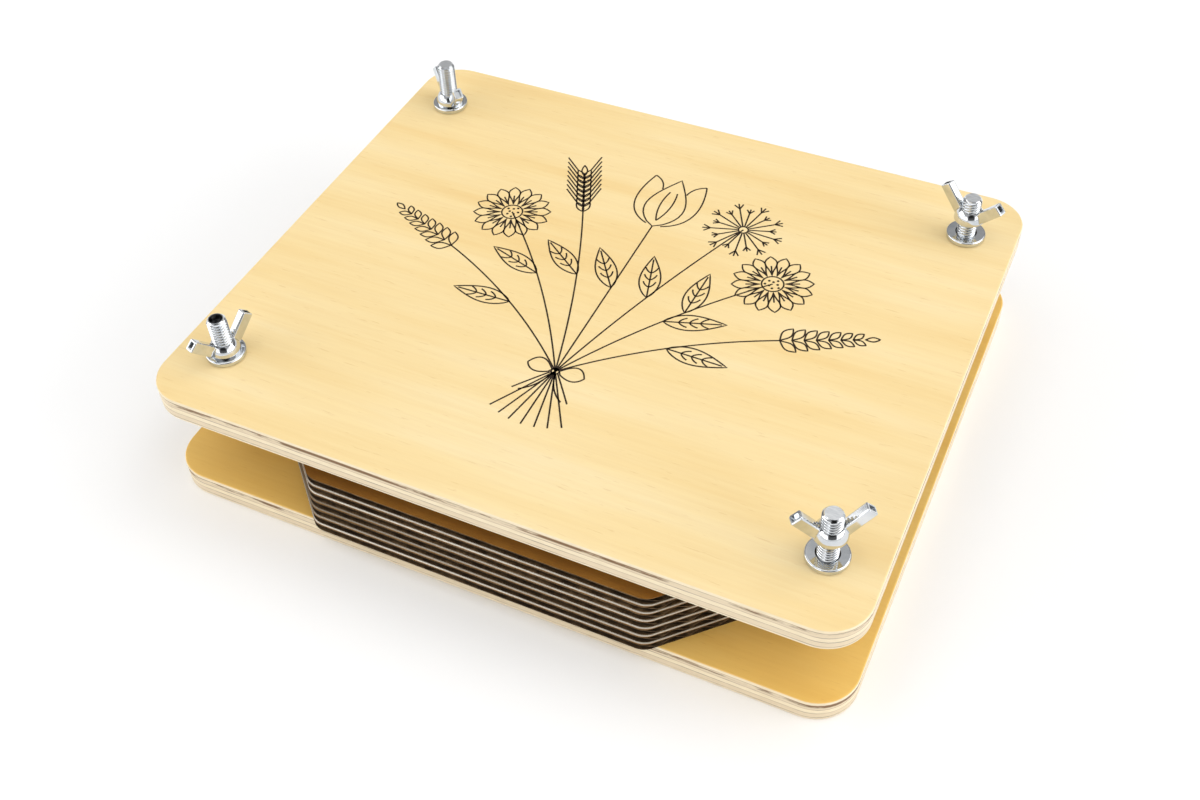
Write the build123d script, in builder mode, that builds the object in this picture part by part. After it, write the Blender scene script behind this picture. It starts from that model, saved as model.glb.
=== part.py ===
from build123d import *
from math import atan2, cos, degrees, radians, sin, sqrt
import os

# Flower press: two plywood boards on four carriage bolts, wing nuts above,
# and a stack of corrugated cards and blotting papers between the boards.
# Units are millimetres. +Z is up, -Y is the front, and the origin is the
# centre of the bottom board's underside.

# Boards
board_width = 215.0
board_depth = 179.0
board_thickness = 8.0
board_corner = 12.5
board_edge_round = 0.6
board_gap = 25.5

# Bolts
bolt_inset_x = 15.5
bolt_inset_y = 22.0
bolt_diameter = 5.9
bolt_tip_chamfer = 0.7
bolt_hole_diameter = 7.0
neck_side = 6.2
neck_length = 3.3
neck_clearance = 0.05
head_diameter = 15.0
head_height = 3.4
head_rim = 0.8
recess_diameter = 17.0
recess_depth = 4.2
tip_dish_diameter = 4.0
tip_dish_depth = 1.5
tip_dish_taper = 18.0

# Washers
washer_diameter = 12.0
washer_hole_diameter = 6.6
washer_thickness = 1.8
washer_edge_round = 0.5

# Wing nuts
nut_bore_clearance = 0.05
hub_height = 3.7
hub_base_wall = 1.65
hub_top_wall = 0.2
hub_bulge = 0.42
wing_rise = 48.0
wing_length = 9.8
wing_depth = 3.6
wing_thickness = 2.9
wing_edge_round = 0.6
wing_end_round = 0.3
wing_root_inset = 0.3
wing_seat_gap = 0.05
wing_hollow_rim = 0.65
wing_hollow_depth = 0.9
wing_hollow_round = 0.3

# Stack of sheets
card_count = 7
card_thickness = 2.65
liner_thickness = 0.35
medium_thickness = 0.35
flute_spacing = 6.0
flute_crest = 0.9
flute_crest_round = 1.0
flute_web = 0.55
paper_thickness = 0.4
paper_margin = 0.1
sheet_side_gap = 7.5
sheet_overhang = 0.5
sheet_bolt_clearance = 9.4
sheet_corner_round = 6.0
stack_lean = 2.2

# The four corners, each as the signs of its X and Y
corners = {
    "front_left": (-1, -1),
    "front_right": (1, -1),
    "rear_left": (-1, 1),
    "rear_right": (1, 1),
}
# Height of each bolt's tip above the top board
bolt_reach = {"front_left": 14.2, "front_right": 17.8, "rear_left": 16.8, "rear_right": 15.0}
# Height of each wing nut above its washer: two are screwed down, two stand loose
nut_lift = {"front_left": 0.0, "front_right": 7.5, "rear_left": 0.0, "rear_right": 5.4}
# Direction of each wing nut's wings, in degrees from +X
nut_angle = {"front_left": 71.0, "front_right": 32.0, "rear_left": -38.0, "rear_right": -20.0}
dished_bolt = "front_left"

# Places and levels that follow from the sizes above
top_board_level = board_thickness + board_gap
top_face_level = top_board_level + board_thickness
bolt_radius = bolt_diameter / 2
bolt_spacing_x = board_width - 2 * bolt_inset_x
bolt_spacing_y = board_depth - 2 * bolt_inset_y
sheet_width = board_width - 2 * sheet_side_gap
sheet_depth = board_depth + 2 * sheet_overhang
# A whole number of flutes fills the depth
flute_count = round(sheet_depth / flute_spacing)
flute_pitch = sheet_depth / flute_count
# The sheets' corners are cut off at 45 degrees, this far along each side, to pass the bolts
bolt_standoff = (sheet_width - bolt_spacing_x) / 2 + (sheet_depth - bolt_spacing_y) / 2
sheet_corner_cut = bolt_standoff + (bolt_radius + sheet_bolt_clearance) * sqrt(2)


def board_blank():
    """A plain board with rounded corners and softened edges, lying on the XY plane."""
    with BuildPart() as blank:
        with BuildSketch():
            RectangleRounded(board_width, board_depth, board_corner)
        extrude(amount=board_thickness)
        outline = blank.faces().filter_by(Axis.Z).edges()
        fillet(outline, radius=board_edge_round)
    return blank.part


def make_bottom_board():
    """The lower board: square holes grip the bolt necks, recesses below hide the heads."""
    with BuildPart() as bottom:
        add(board_blank())
        with BuildSketch():
            with GridLocations(bolt_spacing_x, bolt_spacing_y, 2, 2):
                Circle(recess_diameter / 2)
        extrude(amount=recess_depth, mode=Mode.SUBTRACT)
        square = neck_side + 2 * neck_clearance
        with BuildSketch(Plane.XY.offset(recess_depth)):
            with GridLocations(bolt_spacing_x, bolt_spacing_y, 2, 2):
                Rectangle(square, square)
        extrude(amount=board_thickness - recess_depth, mode=Mode.SUBTRACT)
    return bottom.part


def make_top_board():
    """The upper board: plain holes that slide freely on the bolts."""
    with BuildPart() as top:
        add(board_blank())
        with GridLocations(bolt_spacing_x, bolt_spacing_y, 2, 2):
            Hole(bolt_hole_diameter / 2)
    return top.part


def make_bolt(tip_level, dished):
    """A carriage bolt on the Z axis: cup head, square neck and a shank at thread crest size."""
    head_radius = head_diameter / 2
    head_bottom = recess_depth - head_height
    with BuildPart() as bolt:
        with BuildSketch(Plane.XZ):
            with BuildLine():
                cup = TangentArc(
                    (0, head_bottom), (head_radius, recess_depth - head_rim), tangent=(1, 0)
                )
                Polyline(
                    cup @ 1,
                    (head_radius, recess_depth),
                    (bolt_radius, recess_depth),
                    (bolt_radius, tip_level - bolt_tip_chamfer),
                    (bolt_radius - bolt_tip_chamfer, tip_level),
                    (0, tip_level),
                    cup @ 0,
                )
            make_face()
        revolve(axis=Axis.Z)
        with BuildSketch(Plane.XY.offset(recess_depth)):
            Rectangle(neck_side, neck_side)
        extrude(amount=neck_length)
        if dished:
            with BuildSketch(Plane.XY.offset(tip_level)):
                Circle(tip_dish_diameter / 2)
            extrude(amount=-tip_dish_depth, taper=tip_dish_taper, mode=Mode.SUBTRACT)
    return bolt.part


def make_washer():
    """A flat washer on the Z axis with a rounded outer edge."""
    with BuildPart() as washer:
        with BuildSketch():
            Circle(washer_diameter / 2)
            Circle(washer_hole_diameter / 2, mode=Mode.SUBTRACT)
        extrude(amount=washer_thickness)
        rims = washer.edges().filter_by(GeomType.CIRCLE).group_by(SortBy.RADIUS)[-1]
        fillet(rims, radius=washer_edge_round)
    return washer.part


def make_wing_nut():
    """A wing nut on the Z axis, wings towards +X and -X, its seat on the XY plane."""
    bore_radius = bolt_radius + nut_bore_clearance
    base_radius = bore_radius + hub_base_wall
    rise = radians(wing_rise)
    along = Vector(cos(rise), 0, sin(rise))
    across = Vector(-sin(rise), 0, cos(rise))
    # Each wing starts inside the hub, its lower root corner just above the seat
    root_out = base_radius - wing_root_inset - wing_depth / 2 * sin(rise)
    root_up = wing_seat_gap + wing_depth / 2 * cos(rise)
    root = Plane(origin=(root_out, 0, root_up), x_dir=across, z_dir=along)
    with BuildPart() as nut:
        with BuildSketch(root):
            RectangleRounded(wing_depth, wing_thickness, wing_edge_round)
        extrude(amount=wing_length)
        end_face = nut.faces().sort_by(Axis((0, 0, 0), along))[-1]
        fillet(end_face.edges(), radius=wing_end_round)
        with BuildSketch(root.offset(wing_length)):
            RectangleRounded(
                wing_depth - 2 * wing_hollow_rim, wing_thickness - 2 * wing_hollow_rim, wing_hollow_round
            )
        extrude(amount=-wing_hollow_depth, mode=Mode.SUBTRACT)
        mirror(about=Plane.YZ)
        with BuildSketch(Plane.XZ):
            with BuildLine():
                flats = Polyline(
                    (bore_radius + hub_top_wall, hub_height), (0, hub_height), (0, 0), (base_radius, 0)
                )
                SagittaArc(flats @ 1, flats @ 0, -hub_bulge)
            make_face()
        revolve(axis=Axis.Z)
        # The bore runs on past the hub and clears the wings from the bolt
        with BuildSketch():
            Circle(bore_radius)
        extrude(amount=hub_height + wing_length, mode=Mode.SUBTRACT)
    return nut.part


def flute_channel():
    """The cross-section of one flute: flat below, with the wavy medium arching over it."""
    core = card_thickness - 2 * liner_thickness
    height = core - medium_thickness
    stretch = core / height
    half_crest = flute_crest / 2
    half_foot = (flute_pitch / 2 - flute_web - half_crest * stretch) / (2 - stretch)
    slope = degrees(atan2(height, half_foot - half_crest))
    with BuildSketch() as channel:
        Trapezoid(2 * half_foot, height, slope, align=(Align.CENTER, Align.MIN))
        fillet(channel.vertices().group_by(Axis.Y)[-1], radius=flute_crest_round)
    return channel.sketch


def sheet_outline(margin):
    """The outline shared by cards and papers: a rectangle with its corners cut clear of the bolts."""
    with BuildSketch() as outline:
        Rectangle(sheet_width, sheet_depth)
        chamfer(outline.vertices(), length=sheet_corner_cut)
        fillet(outline.vertices(), radius=sheet_corner_round)
        if margin > 0:
            offset(amount=margin)
    return outline.sketch


def make_card():
    """A corrugated card on the XY plane, with its flutes running left to right."""
    channel = flute_channel()
    front = -sheet_depth / 2
    floor_level = liner_thickness
    ceiling_level = card_thickness - liner_thickness
    with BuildPart() as card:
        with BuildSketch():
            add(sheet_outline(0))
        extrude(amount=card_thickness)
        with BuildSketch(Plane.YZ.offset(-sheet_width / 2)):
            for number in range(flute_count + 1):
                with Locations((front + number * flute_pitch, floor_level)):
                    add(channel)
            for number in range(flute_count):
                with Locations((front + (number + 0.5) * flute_pitch, ceiling_level)):
                    add(channel, rotation=180)
        extrude(amount=sheet_width, mode=Mode.SUBTRACT)
    return card.part


def make_paper():
    """A sheet of blotting paper on the XY plane, a little larger than the cards."""
    with BuildPart() as paper:
        with BuildSketch():
            add(sheet_outline(paper_margin))
        extrude(amount=paper_thickness)
    return paper.part


def save(piece, name, place):
    """Put a piece in its place, name it and write it out."""
    placed = piece.moved(place)
    placed.label = name
    export_step(placed, f"parts/{name}.step")


os.makedirs("parts", exist_ok=True)

save(make_bottom_board(), "bottom_board", Location((0, 0, 0)))
save(make_top_board(), "top_board", Location((0, 0, top_board_level)))

washer = make_washer()
nut = make_wing_nut()
for corner, (side, end) in corners.items():
    x = side * bolt_spacing_x / 2
    y = end * bolt_spacing_y / 2
    bolt = make_bolt(top_face_level + bolt_reach[corner], dished=corner == dished_bolt)
    nut_level = top_face_level + washer_thickness + nut_lift[corner]
    save(bolt, f"bolt_{corner}", Location((x, y, 0)))
    save(washer, f"washer_{corner}", Location((x, y, top_face_level)))
    save(nut, f"wing_nut_{corner}", Location((x, y, nut_level), (0, 0, nut_angle[corner])))

# The stack starts with a card and alternates, and leans back as it rises
card = make_card()
paper = make_paper()
layer_pitch = card_thickness + paper_thickness
for number in range(card_count):
    level = board_thickness + number * layer_pitch
    setback = stack_lean * (number / (card_count - 1) - 1)
    save(card, f"card_{number + 1}", Location((0, setback, level)))
    if number < card_count - 1:
        paper_setback = setback + stack_lean / (card_count - 1) / 2
        save(paper, f"paper_{number + 1}", Location((0, paper_setback, level + card_thickness)))
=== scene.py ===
from cmath import exp
from math import cos, pi, radians, sin, sqrt, tan

import bmesh
import bpy
from mathutils import Matrix, Vector


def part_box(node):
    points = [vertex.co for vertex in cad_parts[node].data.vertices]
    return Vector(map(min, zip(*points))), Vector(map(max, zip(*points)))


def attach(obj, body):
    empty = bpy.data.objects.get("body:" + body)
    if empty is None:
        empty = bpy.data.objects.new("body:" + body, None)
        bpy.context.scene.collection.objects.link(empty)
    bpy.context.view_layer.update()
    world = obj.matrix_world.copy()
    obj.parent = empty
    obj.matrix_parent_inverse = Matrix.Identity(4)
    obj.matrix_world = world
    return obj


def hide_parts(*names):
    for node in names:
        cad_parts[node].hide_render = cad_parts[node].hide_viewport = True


# Flower press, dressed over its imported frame. Lengths are in metres, +Z is up
# and -Y is the front. The boards, washers, wing nuts, cards and papers are the
# frame's own nodes with finishes put on them. The bolts are replaced by bolts
# with cut threads, and a line drawing is added to the top board.

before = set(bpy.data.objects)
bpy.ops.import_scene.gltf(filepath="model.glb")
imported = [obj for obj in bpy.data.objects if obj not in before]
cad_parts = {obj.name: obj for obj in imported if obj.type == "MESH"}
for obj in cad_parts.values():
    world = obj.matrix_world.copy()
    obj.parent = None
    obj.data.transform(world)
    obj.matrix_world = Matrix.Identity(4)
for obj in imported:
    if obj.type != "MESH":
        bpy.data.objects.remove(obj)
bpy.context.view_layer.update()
mm = 0.001

corner_names = ("front_left", "front_right", "rear_left", "rear_right")
card_names = [f"card_{number}" for number in range(1, 8)]
paper_names = [f"paper_{number}" for number in range(1, 7)]

# Sizes of the bolts, which follow the solids that they replace
bolt_radius = 2.95 * mm
thread_pitch = 1.0 * mm
thread_depth = 0.6 * mm
thread_turn_steps = 40
thread_pitch_steps = 10
thread_sharp_angle = radians(44)
tip_chamfer = 0.7 * mm
dish_radius = 2.0 * mm
dish_depth = 1.5 * mm
dish_taper = radians(18)
head_radius = 7.5 * mm
head_height = 3.4 * mm
head_rim = 0.8 * mm
head_steps = 8
neck_side = 6.2 * mm
neck_length = 3.3 * mm
dished_bolt = "front_left"

# Plywood: its layers from the underside up, and what shows along its edges
ply_thicknesses = (1.1 * mm, 2.0 * mm, 1.8 * mm, 2.0 * mm, 1.1 * mm)
board_thickness = sum(ply_thicknesses)
glue_thickness = 0.20 * mm
joint_wobble = 0.12 * mm
gap_below_face_ply = 0.55 * mm
pale_ply = (0.97, 0.84, 0.61)
cross_ply = (0.86, 0.72, 0.51)
faint_glue = (0.60, 0.46, 0.29)
dark_glue = (0.18, 0.10, 0.045)
edge_grain = (0.64, 0.50, 0.31)
# Painted shade inside the small gaps of the upper cross ply
gap_shade_brown = (0.24, 0.13, 0.055)
# Each board has its own stretch of grain, and the bottom one is tinted deeper and warmer as painted
# shade and bounced light from under the top board
bottom_grain_shift = (3.1, 7.7, 0.0)
bottom_shade_and_bounce = (1.02, 0.86, 0.46)
top_grain_shift = (0.4, 1.9, 0.0)
top_tone = (1.0, 1.0, 1.0)

# The line drawing: a line's width, and how far it stands above and below the board's face
line_width = 0.50 * mm
line_proud = 0.03 * mm
line_sunk = 0.03 * mm

# The floor, a hair below the press so that the two faces don't coincide
floor_half_width = 12.0
floor_level = -0.1 * mm
floor_shade = 0.90
floor_glow = 0.10

# The camera, solved from the edges of both boards
camera_azimuth = radians(26.8)
camera_elevation = radians(47.0)
camera_roll = radians(-2.62)
camera_distance = 0.444
camera_target = Vector((-0.00205, -0.00427, -0.0028))
camera_lens = 40.95
camera_sensor = 36.0

# The light: a tent over the press, given as its brightness at some heights (the sine
# of the elevation) at the back and towards the camera. It has a dark opening below the
# camera, and a pale backdrop runs along the horizon.
tent_back_levels = ((0.20, 0.12), (0.55, 0.36), (0.79, 0.50), (0.88, 1.40), (1.0, 1.50))
tent_front_levels = ((0.20, 3.1), (0.36, 2.7), (0.56, 0.45), (0.80, 0.50), (0.92, 1.0), (1.0, 1.50))
tent_front_edge = (0.1, 0.6)
tent_opening_elevation = radians(22)
tent_opening_level = 0.04
tent_opening_edge = (0.83, 0.92)
backdrop_level = 0.95
backdrop_edge = (0.13, 0.18)
# Softboxes round the press: azimuth and elevation in degrees, width, height and brightness
softbox_distance = 2.6
softboxes = {
    "softbox_left": (-68, 23, 2.4, 1.4, 1.9),
    "softbox_right": (100, 23, 1.8, 1.4, 2.3),
    "softbox_back": (132, 50, 2.0, 2.0, 1.1),
}


def grey(level):
    """A colour without hue."""
    return (level, level, level)


class Nodes:
    """A node tree, with short calls for the nodes that the finishes and the tent share."""

    # A Mix node has sockets for every kind of value, and colours use those at these places
    mix_factor = 0
    mix_first = 6
    mix_second = 7
    mix_result = 2

    def __init__(self, tree):
        self.tree = tree

    def feed(self, socket, value):
        """Give a socket another node's output, or a plain value."""
        if isinstance(value, bpy.types.NodeSocket):
            self.tree.links.new(value, socket)
        elif isinstance(value, tuple) and len(value) == 3 and socket.type == "RGBA":
            socket.default_value = (*value, 1.0)
        else:
            socket.default_value = value

    def add(self, kind, **inputs):
        """A new node, with its inputs given by name (spaces as underscores)."""
        node = self.tree.nodes.new(kind)
        for name, value in inputs.items():
            self.feed(node.inputs[name.replace("_", " ")], value)
        return node

    def split(self, vector):
        """The X, Y and Z of a vector."""
        return self.add("ShaderNodeSeparateXYZ", Vector=vector).outputs

    def math(self, operation, first, second=0.0):
        """One sum on one or two values."""
        node = self.tree.nodes.new("ShaderNodeMath")
        node.operation = operation
        self.feed(node.inputs[0], first)
        self.feed(node.inputs[1], second)
        return node.outputs["Value"]

    def weighed(self, *terms):
        """Values added up, each given with its weight."""
        total = 0.0
        for value, weight in terms:
            total = self.math("ADD", self.math("MULTIPLY", value, weight), total)
        return total

    def along(self, vector, direction):
        """How far a vector goes along a direction."""
        node = self.tree.nodes.new("ShaderNodeVectorMath")
        node.operation = "DOT_PRODUCT"
        self.feed(node.inputs[0], vector)
        self.feed(node.inputs[1], direction)
        return node.outputs["Value"]

    def spread(self, value, low, high, out_low=0.0, out_high=1.0):
        """The stretch from low to high, drawn out to another stretch and held at its ends."""
        node = self.add("ShaderNodeMapRange", Value=value, From_Min=low, From_Max=high)
        self.feed(node.inputs["To Min"], out_low)
        self.feed(node.inputs["To Max"], out_high)
        return node.outputs["Result"]

    def ramp(self, factor, stops):
        """A run of colours along a factor."""
        node = self.add("ShaderNodeValToRGB", Fac=factor)
        elements = node.color_ramp.elements
        while len(elements) < len(stops):
            elements.new(1.0)
        for element, (position, colour) in zip(elements, stops):
            element.position = position
            element.color = (*colour, 1.0)
        return node.outputs["Color"]

    def mix(self, factor, first, second, blend_type="MIX"):
        """Two colours, mixed by a factor."""
        node = self.tree.nodes.new("ShaderNodeMix")
        node.data_type = "RGBA"
        node.blend_type = blend_type
        self.feed(node.inputs[self.mix_factor], factor)
        self.feed(node.inputs[self.mix_first], first)
        self.feed(node.inputs[self.mix_second], second)
        return node.outputs[self.mix_result]

    def tint(self, colour, tone):
        """A colour multiplied by another."""
        return self.mix(1.0, colour, tone, blend_type="MULTIPLY")


class Finish(Nodes):
    """A material, with calls for the textures and relief that the finishes share."""

    def __init__(self, name):
        self.material = bpy.data.materials.new(name)
        self.material.use_nodes = True
        super().__init__(self.material.node_tree)
        self.shader = self.tree.nodes["Principled BSDF"]

    def place(self):
        """Where a point of the piece lies in the shared frame, at rest."""
        return self.add("ShaderNodeTexCoord").outputs["Object"]

    def noise(self, scale, detail=3.0, roughness=0.5, shift=(0, 0, 0)):
        """Noise with its own number of features per metre along each axis."""
        mapping = self.add("ShaderNodeMapping", Vector=self.place(), Scale=scale, Location=shift)
        texture = self.add("ShaderNodeTexNoise", Scale=1.0, Detail=detail, Roughness=roughness)
        self.feed(texture.inputs["Vector"], mapping.outputs["Vector"])
        return texture.outputs["Fac"]

    def bump(self, height, depth, strength):
        """Small relief of the given depth on the whole surface."""
        node = self.add("ShaderNodeBump", Height=height, Distance=depth, Strength=strength)
        self.feed(self.shader.inputs["Normal"], node.outputs["Normal"])

    def set(self, **inputs):
        """Set the shader's own inputs by name (spaces as underscores)."""
        for name, value in inputs.items():
            self.feed(self.shader.inputs[name.replace("_", " ")], value)


# Plywood

def ply_stops(light, cross, glue):
    """Colours through the board's thickness: plies in turn, with a glue line at each joint."""
    stops = []
    level = 0.0
    for number, ply in enumerate(ply_thicknesses):
        colour = cross if number % 2 else light
        if number > 0:
            stops.append((level / board_thickness, glue))
            stops.append(((level + glue_thickness) / board_thickness, colour))
        else:
            stops.append((0.0, colour))
        level += ply
        if number < len(ply_thicknesses) - 1:
            stops.append(((level - glue_thickness) / board_thickness, colour))
    stops.append((1.0, light))
    return stops


def ply_face(finish, shift, tone):
    """Colour of the faces, with their fine grain: broad pale streaks, finer streaks and flecks."""
    birch = (
        (0.34, (0.89, 0.64, 0.28)),
        (0.45, (0.92, 0.70, 0.34)),
        (0.56, (0.94, 0.74, 0.39)),
        (0.68, (0.95, 0.78, 0.46)),
    )
    grain_brown = (0.82, 0.58, 0.26)
    fleck_brown = (0.72, 0.47, 0.19)
    wave = finish.noise((9.0, 9.0, 9.0), detail=2.0, shift=shift)
    broad = finish.noise((7.0, 75.0, 75.0), detail=4.0, roughness=0.55, shift=shift)
    fine = finish.noise((38.0, 900.0, 900.0), detail=4.0, roughness=0.6, shift=shift)
    flecks = finish.noise((160.0, 1500.0, 1500.0), detail=2.0, shift=shift)
    face = finish.ramp(finish.weighed((broad, 0.7), (wave, 0.3)), birch)
    face = finish.mix(finish.spread(fine, 0.35, 0.75, out_high=0.28), face, grain_brown)
    face = finish.mix(finish.spread(flecks, 0.66, 0.74, out_high=0.35), face, fleck_brown)
    return finish.tint(face, tone), fine


def ply_gaps(finish, share, shift):
    """Where the upper cross ply has gaps, in short runs; they are painted dark brown as the shade inside
    them.
    """
    gap_level = 1.0 - (ply_thicknesses[-1] + gap_below_face_ply) / board_thickness
    distance = finish.math("ABSOLUTE", finish.math("SUBTRACT", share, gap_level))
    band = finish.spread(distance, 0.045, 0.100, out_low=1.0, out_high=0.0)
    run = finish.noise((34.0, 34.0, 240.0), detail=5.0, roughness=0.7, shift=shift)
    return finish.math("MULTIPLY", band, finish.spread(run, 0.46, 0.54))


def ply_edge(finish, base_level, shift):
    """Colour of the edges, with their relief: plies by height, glue lines and gaps."""
    height = finish.split(finish.place())["Z"]
    # The joints between the plies wander a little
    unevenness = finish.noise((25.0, 25.0, 60.0), detail=2.0, shift=shift)
    wobble = finish.spread(unevenness, 0.3, 0.7, -joint_wobble, joint_wobble)
    level = finish.math("ADD", finish.math("SUBTRACT", height, base_level), wobble)
    share = finish.math("DIVIDE", level, board_thickness)
    # The glue lines come and go along the edge
    glue_run = finish.noise((70.0, 70.0, 420.0), detail=4.0, roughness=0.65, shift=shift)
    faint_lines = finish.ramp(share, ply_stops(pale_ply, cross_ply, faint_glue))
    dark_lines = finish.ramp(share, ply_stops(pale_ply, cross_ply, dark_glue))
    edge = finish.mix(finish.spread(glue_run, 0.46, 0.60), faint_lines, dark_lines)
    grain = finish.noise((260.0, 260.0, 2600.0), detail=4.0, roughness=0.65, shift=shift)
    edge = finish.mix(finish.spread(grain, 0.45, 0.72, out_high=0.34), edge, edge_grain)
    # The gaps are painted dark brown, as the shade in them, and sunk in the relief.
    gaps = ply_gaps(finish, share, shift)
    return finish.mix(gaps, edge, gap_shade_brown), finish.weighed((gaps, -2.0), (grain, 0.5))


def plywood(name, base_level, shift, face_tone):
    """Birch-faced plywood: soft grain along X on the faces, plies and glue lines along the edges."""
    finish = Finish(name)
    face, fine = ply_face(finish, shift, face_tone)
    edge, edge_relief = ply_edge(finish, base_level, shift)
    # The edges are where the surface doesn't face up or down
    normal = finish.add("ShaderNodeTexCoord").outputs["Normal"]
    facing = finish.math("ABSOLUTE", finish.split(normal)["Z"])
    colour = finish.mix(finish.spread(facing, 0.55, 0.85), edge, face)
    roughness = finish.spread(fine, 0.2, 0.8, 0.42, 0.60)
    finish.set(Base_Color=colour, Roughness=roughness, Specular_IOR_Level=0.35)
    relief = finish.weighed((fine, 0.6), (edge_relief, 1.0))
    finish.bump(relief, depth=0.04 * mm, strength=0.6)
    return finish.material


# Steel

def zinc_steel():
    """Bright plated steel with faint clouding, fine scratches and a slightly uneven skin."""
    finish = Finish("zinc_steel")
    plating = ((0.30, (0.58, 0.61, 0.64)), (0.55, (0.68, 0.70, 0.72)), (0.75, (0.75, 0.76, 0.77)))
    cloud = finish.noise((240.0, 240.0, 240.0), detail=4.0)
    scratches = finish.noise((2600.0, 700.0, 5200.0), detail=3.0, roughness=0.6)
    dullness = finish.spread(cloud, 0.3, 0.7, 0.06, 0.10)
    roughness = finish.math("ADD", dullness, finish.spread(scratches, 0.55, 0.75, out_high=0.05))
    finish.set(Base_Color=finish.ramp(cloud, plating), Roughness=roughness, Metallic=1.0)
    skin = finish.noise((420.0, 420.0, 420.0), detail=2.0)
    finish.bump(skin, depth=0.03 * mm, strength=0.15)
    return finish.material


def painted_dish_shade():
    """Near-black steel inside the one dished bolt tip: its darkness is painted shade in the hollow, with
    a faint mottle.
    """
    finish = Finish("painted_dish_shade")
    # The near-black colours are painted shade in the dish.
    dish_shade_greys = ((0.35, (0.015, 0.015, 0.016)), (0.70, (0.10, 0.10, 0.105)))
    dish_mottle = finish.noise((900.0, 900.0, 900.0), detail=4.0, roughness=0.6)
    roughness = finish.spread(dish_mottle, 0.3, 0.7, 0.30, 0.55)
    finish.set(Base_Color=finish.ramp(dish_mottle, dish_shade_greys), Roughness=roughness, Metallic=1.0)
    finish.bump(dish_mottle, depth=0.05 * mm, strength=0.5)
    return finish.material


def cut_steel():
    """The satin steel of a bolt's cut end."""
    finish = Finish("cut_steel")
    satin = ((0.35, (0.64, 0.66, 0.68)), (0.65, (0.82, 0.83, 0.84)))
    marks = finish.noise((500.0, 4200.0, 500.0), detail=3.0, roughness=0.6)
    roughness = finish.spread(marks, 0.3, 0.7, 0.36, 0.48)
    finish.set(Base_Color=finish.ramp(marks, satin), Roughness=roughness, Metallic=1.0)
    finish.bump(marks, depth=0.03 * mm, strength=0.4)
    return finish.material


# Card and paper

def card_inside(finish):
    """Colour of a card's cut edges and flutes: mottled brown darkened as painted shade, and darkest deep
    in the flutes, where an occlusion test paints more shade.
    """
    browns = ((0.38, (0.040, 0.022, 0.008)), (0.52, (0.110, 0.064, 0.026)), (0.68, (0.20, 0.125, 0.060)))
    layer_shade = (0.020, 0.011, 0.004)
    flute_shade = (0.006, 0.0035, 0.0015)
    mottle = finish.noise((260.0, 260.0, 900.0), detail=4.0, roughness=0.65)
    layers = finish.noise((3.0, 3.0, 310.0), detail=1.0)
    inside = finish.ramp(mottle, browns)
    inside = finish.mix(finish.spread(layers, 0.42, 0.60, out_high=0.5), inside, layer_shade)
    # Painted shade: the colour goes nearly black where the occlusion test finds the flutes closed in.
    openness = finish.add("ShaderNodeAmbientOcclusion", Distance=1.6 * mm)
    openness.samples = 6
    return finish.mix(finish.spread(openness.outputs["AO"], 0.25, 0.70), flute_shade, inside)


def near_card_top(finish):
    """Where a point lies near the top of its card, above the flutes, in any layer."""
    margin = 0.1 * mm
    low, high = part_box("card_1")
    thickness = high.z - low.z
    layer_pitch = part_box("card_2")[0].z - low.z
    height = finish.math("SUBTRACT", finish.split(finish.place())["Z"], low.z - margin)
    height = finish.math("MODULO", height, layer_pitch)
    return finish.spread(height, thickness - margin, thickness)


def kraft_card():
    """Brown kraft card: amber outside, with dark, mottled cut edges and flutes that differ by layer;
    that darkness is painted shade.
    """
    finish = Finish("kraft_card")
    ambers = ((0.30, (0.26, 0.112, 0.015)), (0.70, (0.37, 0.168, 0.026)))
    fibre_brown = (0.20, 0.085, 0.016)
    patches = finish.noise((45.0, 45.0, 45.0), detail=3.0)
    fibres = finish.noise((420.0, 2600.0, 2600.0), detail=4.0, roughness=0.65)
    outside = finish.ramp(patches, ambers)
    outside = finish.mix(finish.spread(fibres, 0.40, 0.75, out_high=0.45), outside, fibre_brown)
    # Below each card's outer face the darker inside colour is used, as painted shade.
    colour = finish.mix(near_card_top(finish), card_inside(finish), outside)
    finish.set(Base_Color=colour, Roughness=0.88, Specular_IOR_Level=0.25)
    finish.bump(fibres, depth=0.05 * mm, strength=0.6)
    return finish.material


def blotting_paper():
    """Soft off-white paper with a felted surface, some sheets greyer than others."""
    finish = Finish("blotting_paper")
    sheets = ((0.40, (0.28, 0.22, 0.15)), (0.56, (0.86, 0.81, 0.71)))
    felt_shade = (0.40, 0.34, 0.26)
    felt = finish.noise((900.0, 900.0, 900.0), detail=4.0, roughness=0.6)
    layers = finish.noise((3.0, 3.0, 310.0), detail=1.0, shift=(4.0, 0.0, 0.0))
    colour = finish.ramp(layers, sheets)
    colour = finish.mix(finish.spread(felt, 0.45, 0.75, out_high=0.3), colour, felt_shade)
    finish.set(Base_Color=colour, Roughness=0.92, Specular_IOR_Level=0.2)
    finish.bump(felt, depth=0.06 * mm, strength=0.6)
    return finish.material


# Drawing line and floor

def burnt_line():
    """The drawing's dark brown line, a little uneven in tone like a burnt or printed one."""
    finish = Finish("burnt_line")
    browns = ((0.35, (0.018, 0.011, 0.006)), (0.65, (0.050, 0.030, 0.015)))
    tone = finish.noise((700.0, 700.0, 700.0), detail=3.0)
    roughness = finish.spread(tone, 0.3, 0.7, 0.55, 0.75)
    finish.set(Base_Color=finish.ramp(tone, browns), Roughness=roughness, Specular_IOR_Level=0.25)
    return finish.material


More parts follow.
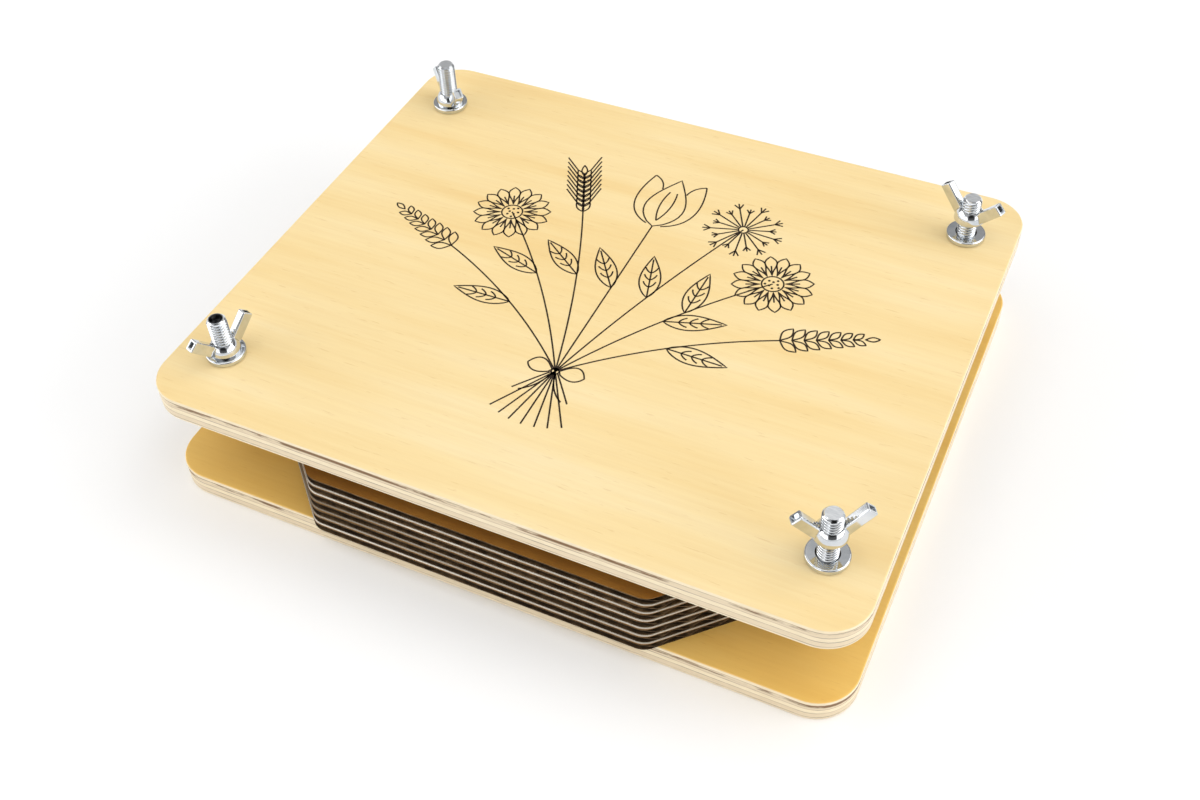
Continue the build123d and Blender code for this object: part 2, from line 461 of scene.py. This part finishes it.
def studio_floor():
    """A white floor that shows the object's shadow and reads as white where nothing shades it."""
    finish = Finish("studio_floor")
    finish.set(Base_Color=grey(floor_shade), Roughness=0.9, Specular_IOR_Level=0.0)
    path = finish.add("ShaderNodeLightPath").outputs
    seen = finish.math("MAXIMUM", path["Is Camera Ray"], path["Is Glossy Ray"])
    seen = finish.math("MAXIMUM", seen, path["Is Transmission Ray"])
    glow = finish.math("MULTIPLY", seen, floor_glow)
    finish.set(Emission_Color=(1.0, 1.0, 1.0), Emission_Strength=glow)
    return finish.material


# Pieces

def dress(node_name, material):
    """Put a finish on one of the frame's own nodes."""
    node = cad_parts[node_name]
    for material_slot in node.material_slots:
        material_slot.material = material


def new_piece(name, builder, material, body):
    """Turn a finished bmesh into a piece that rides on a body."""
    mesh = bpy.data.meshes.new(name)
    bmesh.ops.recalc_face_normals(builder, faces=builder.faces)
    builder.to_mesh(mesh)
    builder.free()
    mesh.materials.append(material)
    piece = bpy.data.objects.new(name, mesh)
    bpy.context.scene.collection.objects.link(piece)
    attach(piece, body)
    return piece


# Bolts with cut threads

def thread_radius(angle, level, tip_level):
    """Radius of the threaded shank: rounded crests and roots, chamfered at the tip."""
    turns = level / thread_pitch - angle / (2 * pi)
    radius = bolt_radius - thread_depth * (1 - cos(2 * pi * turns)) / 2
    chamfered = bolt_radius - max(0.0, tip_chamfer - (tip_level - level))
    return min(radius, chamfered)


def square_radius(angle, level):
    """Distance from the axis to the side of the square neck, which is the same at any level."""
    return neck_side / 2 / max(abs(cos(angle)), abs(sin(angle)))


def bolt_rows(low, high, dished):
    """The bolt's rings from bottom to top, each a level and the radius at each angle."""
    rows = []
    # The domed head is part of a ball that meets the rim
    dome = head_height - head_rim
    ball_radius = (head_radius ** 2 + dome ** 2) / (2 * dome)
    for step in range(1, head_steps + 1):
        radius = head_radius * sin(step / head_steps * pi / 2)
        level = low + ball_radius - sqrt(ball_radius ** 2 - radius ** 2)
        rows.append((level, lambda angle, level, radius=radius: radius))
    head_top = low + head_height
    rows.append((head_top, lambda angle, level: head_radius))
    neck_top = head_top + neck_length
    rows.append((head_top, square_radius))
    rows.append((neck_top, square_radius))
    thread_steps = round((high - neck_top) / thread_pitch * thread_pitch_steps)
    for step in range(thread_steps + 1):
        level = neck_top + (high - neck_top) * step / thread_steps
        rows.append((level, lambda angle, level: thread_radius(angle, level, high)))
    if dished:
        floor_radius = dish_radius - dish_depth * tan(dish_taper)
        rows.append((high, lambda angle, level: dish_radius))
        rows.append((high - dish_depth, lambda angle, level: floor_radius))
    return rows


def add_rings(builder, centre, rows):
    """A ring of points for each row, round the bolt's axis."""
    angles = [2 * pi * (step + 0.5) / thread_turn_steps for step in range(thread_turn_steps)]
    rings = []
    for level, radius_at in rows:
        points = []
        for angle in angles:
            radius = radius_at(angle, level)
            place = (centre.x + radius * cos(angle), centre.y + radius * sin(angle), level)
            points.append(builder.verts.new(place))
        rings.append(points)
    return rings


def close_shell(builder, rings, bottom, top):
    """Faces between the rings, and a fan to a point at each end."""
    for lower, upper in zip(rings, rings[1:]):
        for step in range(thread_turn_steps):
            after = (step + 1) % thread_turn_steps
            builder.faces.new((lower[step], lower[after], upper[after], upper[step]))
    for step in range(thread_turn_steps):
        after = (step + 1) % thread_turn_steps
        builder.faces.new((bottom, rings[0][after], rings[0][step]))
        builder.faces.new((top, rings[-1][step], rings[-1][after]))


def paint_end(mesh, centre, tip_level):
    """Give the end of the bolt, or the dish in it, the mesh's second finish; on the dished bolt that
    finish is painted shade.
    """
    for face in mesh.polygons:
        middle = face.center - centre
        inside = sqrt(middle.x ** 2 + middle.y ** 2) < dish_radius
        at_tip = face.center.z > tip_level - 2 * dish_depth
        face.material_index = 1 if inside and at_tip else 0


def make_bolt(corner, material, end_material):
    """One bolt as a closed shell of rings, in place of the frame's plain bolt."""
    node_name = f"bolt_{corner}"
    low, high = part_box(node_name)
    centre = (low + high) / 2
    rows = bolt_rows(low.z, high.z, corner == dished_bolt)
    builder = bmesh.new()
    rings = add_rings(builder, centre, rows)
    bottom = builder.verts.new((centre.x, centre.y, low.z))
    top = builder.verts.new((centre.x, centre.y, rows[-1][0]))
    close_shell(builder, rings, bottom, top)
    piece = new_piece(f"threaded_bolt_{corner}", builder, material, "base")
    piece.data.shade_smooth()
    piece.data.set_sharp_from_angle(angle=thread_sharp_angle)
    piece.data.materials.append(end_material)
    paint_end(piece.data, centre, high.z)
    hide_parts(node_name)


# Line drawing: a tied bunch of meadow flowers
# A point of the drawing is a complex number, with X along the board and Y to
# the back, so a turn is a product and a shift is a sum. A stroke is a list of
# points and whether its ends join. Each flower is drawn pointing up, and the
# plain numbers in its shape are shares of its size.

def turned(strokes, place, direction):
    """Strokes drawn pointing up, put at a place and turned to point in a direction."""
    turn = direction / 1j
    moved = []
    for points, joined in strokes:
        moved.append(([place + turn * point for point in points], joined))
    return moved


def bow_line(start, bend, end, steps=18):
    """A smooth line from start to end, pulled towards a bend."""
    points = []
    for step in range(steps + 1):
        t = step / steps
        points.append((1 - t) ** 2 * start + 2 * t * (1 - t) * bend + t * t * end)
    return points


def ring(centre, radius, steps=16):
    """A circle."""
    points = [centre + radius * exp(2j * pi * step / steps) for step in range(steps)]
    return (points, True)


def petal(start, length, width, blunt, steps=14):
    """A closed petal or leaf outline that points up; a higher blunt moves its widest part up."""
    right = []
    for step in range(1, steps):
        t = step / steps
        right.append(start + complex(width / 2 * sin(pi * t ** blunt), length * t))
    left = [complex(2 * start.real - point.real, point.imag) for point in reversed(right)]
    return ([start] + right + [start + 1j * length] + left, True)


def leaf(length, width):
    """A pointed leaf with a midrib and side veins."""
    strokes = [petal(0j, length, width, 0.8), ([0j, 0.92j * length], False)]
    for share in (0.25, 0.42, 0.59):
        root = 1j * length * share
        for side in (-1, 1):
            bend = root + complex(side * width * 0.2, length * 0.03)
            tip = root + complex(side * width * 0.30, length * 0.13)
            strokes.append((bow_line(root, bend, tip, 4), False))
    return strokes


def daisy(radius, petal_count):
    """A daisy seen from above: narrow petals round a dotted eye."""
    dot_count = 8
    dot_turn = 2.4
    strokes = [ring(0j, radius * 0.27, 24)]
    for number in range(petal_count):
        direction = exp(2j * pi * number / petal_count)
        blade = [petal(1j * radius * 0.30, radius * 0.70, radius * 0.30, 1.7)]
        blade.append(([1j * radius * 0.42, 1j * radius * 0.66], False))
        strokes += turned(blade, 0j, direction)
    for number in range(1, dot_count + 1):
        dot = radius * 0.20 * sqrt(number / dot_count) * exp(1j * dot_turn * number)
        strokes.append(ring(dot, radius * 0.016, 6))
    return strokes


def tulip(height):
    """A tulip cup: one full petal in front and two that show behind it."""
    strokes = [petal(0j, height, height * 0.52, 0.75)]
    for side in (-1, 1):
        low = complex(side * height * 0.10, height * 0.03)
        belly = complex(side * height * 0.58, height * 0.22)
        tip = complex(side * height * 0.36, height * 0.98)
        neck = complex(side * height * 0.20, height * 0.92)
        inner = complex(side * height * 0.17, height * 0.74)
        strokes.append((bow_line(low, belly, tip), False))
        strokes.append((bow_line(tip, neck, inner), False))
        vein_bend = complex(side * height * 0.12, height * 0.4)
        vein_end = complex(side * height * 0.05, height * 0.72)
        strokes.append((bow_line(0.12j * height, vein_bend, vein_end, 8), False))
    return strokes


def lavender(length):
    """A lavender spike: pairs of buds that shrink towards a single top bud."""
    strokes = []
    tiers = 7
    for tier in range(tiers):
        share = tier / tiers
        bud = length * (0.24 - 0.10 * share)
        place = 1j * length * share * 0.92
        for side in (-1, 1):
            lean = exp(1j * (pi / 2 - side * radians(48 - 16 * share)))
            strokes += turned([petal(0j, bud, bud * 0.45, 1.2)], place, lean)
    strokes += turned([petal(0j, length * 0.16, length * 0.065, 1.1)], 0.92j * length, 1j)
    return strokes


def barley(length):
    """A barley ear: two rows of grains, each with a long bristle."""
    strokes = []
    rows = 8
    for row in range(rows):
        place = 1j * length * row / rows * 0.62
        for side in (-1, 1):
            lean = exp(1j * (pi / 2 - side * radians(24)))
            grain = [petal(0j, length * 0.17, length * 0.065, 0.9)]
            grain.append(([1j * length * 0.17, complex(side * length * 0.012, length * 0.42)], False))
            strokes += turned(grain, place, lean)
    strokes += turned([petal(0j, length * 0.18, length * 0.06, 0.9)], 0.6j * length, 1j)
    return strokes


def seed_clock(radius):
    """A round seed head: thin rays that each end in a small tuft."""
    strokes = [ring(0j, radius * 0.12, 16)]
    rays = 18
    for number in range(rays):
        reach = radius * (1.0 if number % 2 else 0.80)
        tuft = 1j * reach * 0.80
        ray = [([1j * radius * 0.14, tuft], False)]
        for lean in (-34, 0, 34):
            hair_end = tuft + reach * 0.20 * exp(1j * (pi / 2 + radians(lean)))
            ray.append(([tuft, hair_end], False))
        strokes += turned(ray, 0j, exp(2j * pi * number / rays))
    return strokes


def ribbon_bow(size):
    """A small tied bow: two loops, a knot and two tails."""
    strokes = [ring(0j, size * 0.13, 16)]
    for side in (-1, 1):
        knot = side * size * 0.13
        far = complex(side * size, size * 0.05)
        loop = bow_line(knot + 0.04j * size, complex(side * size * 0.7, size * 0.75), far, 14)
        loop += bow_line(far, complex(side * size * 0.75, -size * 0.45), knot - 0.04j * size, 14)[1:-1]
        strokes.append((loop, True))
        tail = complex(side * size * 0.75, -size * 1.15)
        inner_bend = complex(side * size * 0.2, -size * 0.8)
        outer_bend = complex(side * size * 0.55, -size * 0.6)
        strokes.append((bow_line(knot * 0.5 - 0.1j * size, inner_bend, tail), False))
        strokes.append((bow_line(knot - 0.08j * size, outer_bend, tail + side * size * 0.22), False))
    return strokes


# Each stem: lean from upright in degrees, length, sideways bend and its flower, and
# its leaves, each with its place along the stem and its side, 1 being the left
bunch = (
    (-56, 66 * mm, 6 * mm, lavender(27 * mm), ((0.50, 1),)),
    (-37, 74 * mm, 5 * mm, daisy(12.5 * mm, 16), ((0.58, 1),)),
    (-19, 72 * mm, 3 * mm, barley(31 * mm), ((0.58, 1),)),
    (0, 70 * mm, 0 * mm, tulip(25 * mm), ((0.55, 1),)),
    (19, 84 * mm, -3 * mm, seed_clock(13 * mm), ((0.48, 1),)),
    (37, 74 * mm, -5 * mm, daisy(12.5 * mm, 16), ((0.60, 1), (0.50, -1))),
    (56, 66 * mm, -6 * mm, lavender(27 * mm), ((0.50, -1),)),
)
tie_place = -36j * mm
stalk_below = 22 * mm
# Below the tie the stalks fan out less than the stems do above it
stalk_lean_share = 0.55
# A stem is split into this many steps to find a leaf's place along it
stem_steps = 100
leaf_length = 19 * mm
leaf_width = 6.5 * mm
leaf_angle = radians(35)
bow_size = 9 * mm


def bunch_strokes():
    """The whole drawing: stems through one tie, a flower on each, leaves and a bow."""
    strokes = turned(ribbon_bow(bow_size), tie_place, 1j)
    for lean, length, bend, flower, leaves in bunch:
        direction = exp(1j * (pi / 2 - radians(lean)))
        foot = tie_place - stalk_below * exp(1j * (pi / 2 - radians(lean * stalk_lean_share)))
        top = tie_place + length * direction
        pull = tie_place + direction * length * 0.5 + bend * direction / 1j
        strokes.append((bow_line(foot, (foot + tie_place) / 2, tie_place, 6), False))
        strokes.append((bow_line(tie_place, pull, top), False))
        strokes += turned(flower, top, (top - pull) / abs(top - pull))
        for share, side in leaves:
            place = bow_line(tie_place, pull, top, stem_steps)[round(stem_steps * share)]
            leaf_direction = direction * exp(1j * side * leaf_angle)
            strokes += turned(leaf(leaf_length, leaf_width), place, leaf_direction)
    return strokes


def add_ribbon(builder, points, joined, low, high):
    """One stroke as a closed flat bar of even width."""
    count = len(points)
    corners = []
    for number, point in enumerate(points):
        before = points[number - 1] if joined or number > 0 else point
        after = points[(number + 1) % count] if joined or number < count - 1 else point
        along = (after - before) / abs(after - before)
        across = along * 1j * line_width / 2
        edges = []
        for side, level in ((across, low), (across, high), (-across, high), (-across, low)):
            spot = point + side
            edges.append(builder.verts.new((spot.real, spot.imag, level)))
        corners.append(edges)
    pairs = list(zip(corners, corners[1:]))
    if joined:
        pairs.append((corners[-1], corners[0]))
    else:
        builder.faces.new(corners[0])
        builder.faces.new(corners[-1])
    for first, second in pairs:
        for edge in range(4):
            following = (edge + 1) % 4
            builder.faces.new((first[edge], first[following], second[following], second[edge]))


def make_drawing(material):
    """The drawing on the top board's upper face."""
    top_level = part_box("top_board")[1].z
    builder = bmesh.new()
    for points, joined in bunch_strokes():
        add_ribbon(builder, points, joined, top_level - line_sunk, top_level + line_proud)
    new_piece("line_drawing", builder, material, "top_board")


# Stage, light and camera

def make_floor():
    """A wide plain floor."""
    half = floor_half_width
    outline = ((-half, -half), (half, -half), (half, half), (-half, half))
    points = [(x, y, floor_level) for x, y in outline]
    mesh = bpy.data.meshes.new("floor")
    mesh.from_pydata(points, [], [(0, 1, 2, 3)])
    mesh.materials.append(studio_floor())
    floor = bpy.data.objects.new("floor", mesh)
    bpy.context.scene.collection.objects.link(floor)


def direction_to(azimuth, elevation):
    """The way from the press to a point round it; azimuth 0 is the front and 90 the right."""
    return Vector((sin(azimuth) * cos(elevation), -cos(azimuth) * cos(elevation), sin(elevation)))


def make_softbox(name, azimuth, elevation, width, height, brightness):
    """One soft light that faces the press."""
    outward = direction_to(radians(azimuth), radians(elevation))
    lamp = bpy.data.lights.new(name, "AREA")
    lamp.shape = "RECTANGLE"
    lamp.size = width
    lamp.size_y = height
    lamp.energy = brightness * pi * width * height
    softbox = bpy.data.objects.new(name, lamp)
    softbox.location = outward * softbox_distance
    softbox.rotation_mode = "QUATERNION"
    softbox.rotation_quaternion = (-outward).to_track_quat("-Z", "Y")
    bpy.context.scene.collection.objects.link(softbox)


def make_world():
    """The tent and the backdrop, as the light that comes from each direction."""
    world = bpy.data.worlds.new("studio")
    world.use_nodes = True
    nodes = Nodes(world.node_tree)
    direction = nodes.add("ShaderNodeTexCoord").outputs["Generated"]
    height = nodes.split(direction)["Z"]
    back = nodes.ramp(height, [(sine, grey(level)) for sine, level in tent_back_levels])
    ahead = nodes.ramp(height, [(sine, grey(level)) for sine, level in tent_front_levels])
    front = nodes.spread(nodes.along(direction, direction_to(camera_azimuth, 0.0)), *tent_front_edge)
    tent = nodes.mix(front, back, ahead)
    to_opening = nodes.along(direction, direction_to(camera_azimuth, tent_opening_elevation))
    tent = nodes.tint(tent, nodes.spread(to_opening, *tent_opening_edge, 1.0, tent_opening_level))
    light = nodes.mix(nodes.spread(height, *backdrop_edge), grey(backdrop_level), tent)
    nodes.feed(world.node_tree.nodes["Background"].inputs["Color"], light)
    bpy.context.scene.world = world


def make_camera():
    """The camera at the photograph's angle."""
    back = direction_to(camera_azimuth, camera_elevation)
    level_right = Vector((cos(camera_azimuth), sin(camera_azimuth), 0))
    level_up = back.cross(level_right)
    right = level_right * cos(camera_roll) + level_up * sin(camera_roll)
    up = back.cross(right)
    lens = bpy.data.cameras.new("camera")
    lens.lens = camera_lens
    lens.sensor_width = camera_sensor
    camera = bpy.data.objects.new("camera", lens)
    turn = Matrix((right, up, back)).transposed().to_4x4()
    camera.matrix_world = Matrix.Translation(camera_target + back * camera_distance) @ turn
    bpy.context.scene.collection.objects.link(camera)
    bpy.context.scene.camera = camera


# The press
zinc = zinc_steel()
dish_shade_finish = painted_dish_shade()
end_steel = cut_steel()
card = kraft_card()
paper = blotting_paper()
bottom_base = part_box("bottom_board")[0].z
top_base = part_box("top_board")[0].z
# The bottom board's deeper, warmer tint is painted shade and bounced light.
dress("bottom_board", plywood("plywood_bottom", bottom_base, bottom_grain_shift, bottom_shade_and_bounce))
dress("top_board", plywood("plywood_top", top_base, top_grain_shift, top_tone))
for name in card_names:
    dress(name, card)
for name in paper_names:
    dress(name, paper)
for corner in corner_names:
    dress(f"washer_{corner}", zinc)
    dress(f"wing_nut_{corner}", zinc)
    # The dished bolt's hollow gets a near-black finish that is painted shade.
    make_bolt(corner, zinc, dish_shade_finish if corner == dished_bolt else end_steel)
make_drawing(burnt_line())

# The studio
make_floor()
for name, settings in softboxes.items():
    make_softbox(name, *settings)
make_world()
make_camera()
bpy.context.scene.view_settings.view_transform = "Standard"
